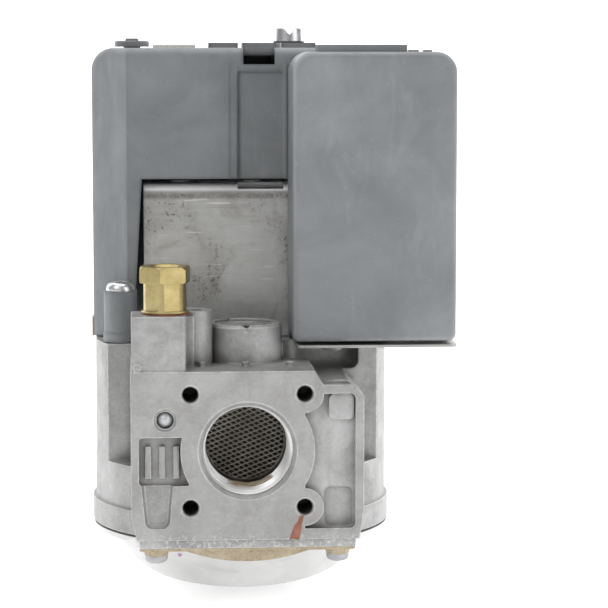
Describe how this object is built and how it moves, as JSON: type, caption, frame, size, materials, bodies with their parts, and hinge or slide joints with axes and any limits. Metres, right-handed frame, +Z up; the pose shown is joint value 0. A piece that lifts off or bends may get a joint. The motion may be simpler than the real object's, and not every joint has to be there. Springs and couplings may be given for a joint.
{
  "type": "gas valve",
  "caption": "Combination gas control valve: cast body with flanged threaded ports, domed bottom cover, solenoids under a moulded cover, electronics module, brass pilot fitting and turn knob.",
  "frame": {"origin": "centre of the inlet bolt pattern and of the inlet port, on the inlet flange face", "axes": "+X to the electronics module's side, +Y along the gas flow from inlet to outlet, +Z up to the covers"},
  "size_m": [0.1048, 0.1016, 0.1653],
  "materials": {
    "cast_aluminium": "as cast, matt",
    "polished_aluminium": "spun and polished",
    "zinc_steel": "dull zinc plate, scratched",
    "bright_steel": "bright nickel plate",
    "yellow_zinc": "yellow chromate on zinc",
    "dark_steel": "dark oiled steel",
    "brass": "turned and milled",
    "grey_plastic": "fine moulded texture",
    "dark_plastic": "moulded",
    "white_plastic": "moulded nylon",
    "green_board": "solder resist",
    "black_rubber": "moulded nitrile",
    "copper_wire": "enamelled winding",
    "gasket": "pressed fibre and rubber"
  },
  "bodies": {
    "valve": {"valve_body": "cast_aluminium", "ball_plug": "bright_steel", "boss_plug": "zinc_steel", "inlet_tap_plug": "zinc_steel", "outlet_tap_plug": "zinc_steel", "inlet_screen": "dark_steel", "screen_ring": "dark_steel", "bottom_cover": "polished_aluminium", "bottom_cover_screws": "bright_steel", "inlet_bottom_plate": "yellow_zinc", "outlet_bottom_plate": "yellow_zinc", "bottom_plate_screws": "bright_steel", "main_diaphragm": "black_rubber", "main_spring": "bright_steel", "deck_gasket": "gasket", "solenoid_base_plate": "zinc_steel", "solenoid_frame": "zinc_steel", "first_bobbin": "dark_plastic", "first_coil": "copper_wire", "first_pole_piece": "zinc_steel", "first_plunger_spring": "bright_steel", "second_bobbin": "dark_plastic", "second_coil": "copper_wire", "second_pole_piece": "zinc_steel", "second_plunger_spring": "bright_steel", "regulator_housing": "cast_aluminium", "regulator_diaphragm": "black_rubber", "regulator_pedestal": "cast_aluminium", "regulator_spring": "bright_steel", "pilot_fitting": "brass", "pilot_filter": "brass", "main_cover": "grey_plastic", "cover_screws": "bright_steel", "ground_clip": "yellow_zinc", "switch_body": "dark_plastic", "control_connector": "white_plastic", "control_pins": "bright_steel", "harness_connector": "grey_plastic", "harness_pins": "bright_steel", "module_cover": "grey_plastic", "module_back_plate": "grey_plastic", "module_bracket": "zinc_steel", "module_screws": "bright_steel", "circuit_board": "green_board", "board_parts": "dark_plastic"},
    "main_valve": {"valve_stem": "zinc_steel", "main_valve_disc": "cast_aluminium", "disc_seal": "black_rubber", "diaphragm_plate": "zinc_steel"},
    "first_valve": {"first_plunger": "zinc_steel", "first_valve_disc": "black_rubber"},
    "second_valve": {"second_plunger": "zinc_steel", "servo_valve_disc": "black_rubber"},
    "pilot_needle": {"pilot_needle": "brass"},
    "pilot_screw": {"pilot_adjust_screw": "bright_steel"},
    "follower": {"spring_follower": "white_plastic"},
    "adjusting_screw": {"regulator_adjusting_screw": "white_plastic"},
    "cap_seal": {"cap_seal": "black_rubber"},
    "regulator_cap": {"regulator_cap": "bright_steel"},
    "knob": {"switch_knob": "grey_plastic"}
  },
  "joints": [
    {"name": "main_valve_lift", "type": "slide", "parent": "valve", "child": "main_valve", "axis": [0, 0, 1], "range_m": [0, 0.004], "stiffness_N_per_m": 150, "springref_m": -0.006, "deforming": ["main_spring", "main_diaphragm"]},
    {"name": "first_valve_lift", "type": "slide", "parent": "valve", "child": "first_valve", "axis": [0, 0, 1], "range_m": [0, 0.003], "stiffness_N_per_m": 80, "springref_m": -0.004, "deforming": ["first_plunger_spring"]},
    {"name": "second_valve_lift", "type": "slide", "parent": "valve", "child": "second_valve", "axis": [0, 0, 1], "range_m": [0, 0.0015], "stiffness_N_per_m": 80, "springref_m": -0.003, "deforming": ["second_plunger_spring"]},
    {"name": "pilot_needle_travel", "type": "slide", "parent": "valve", "child": "pilot_needle", "axis": [0, 0, 1], "range_m": [-0.0005, 0.0015]},
    {"name": "pilot_screw_turn", "type": "hinge", "parent": "pilot_needle", "child": "pilot_screw", "pos_m": [-0.0146, 0.019, 0.0376], "axis": [0, 0, 1], "range_deg": [-240.2, 720.2]},
    {"name": "regulator_follower_travel", "type": "slide", "parent": "valve", "child": "follower", "axis": [0, 0, 1], "range_m": [-0.002, 0.002], "deforming": ["regulator_spring"]},
    {"name": "regulator_adjust_turn", "type": "hinge", "parent": "follower", "child": "adjusting_screw", "pos_m": [0.0162, 0.0775, 0.1038], "axis": [0, 0, 1], "range_deg": [-720.2, 720.2]},
    {"name": "regulator_cap_lift", "type": "slide", "parent": "valve", "child": "cap_seal", "axis": [0, 0, 1], "range_m": [0, 0.003]},
    {"name": "regulator_cap_turn", "type": "hinge", "parent": "cap_seal", "child": "regulator_cap", "pos_m": [0.0162, 0.0775, 0.1128], "axis": [0, 0, 1], "range_deg": [0, 1080.2]},
    {"name": "knob_turn", "type": "hinge", "parent": "valve", "child": "knob", "pos_m": [-0.0315, 0.06, 0.1113], "axis": [0, 0, 1], "range_deg": [0, 90]}
  ],
  "couplings": [
    {"joint": "pilot_screw_turn", "follows": "pilot_needle_travel", "rad_per_m": 8377.6},
    {"joint": "regulator_adjust_turn", "follows": "regulator_follower_travel", "rad_per_m": 6283.2},
    {"joint": "regulator_cap_turn", "follows": "regulator_cap_lift", "rad_per_m": 6283.2}
  ]
}
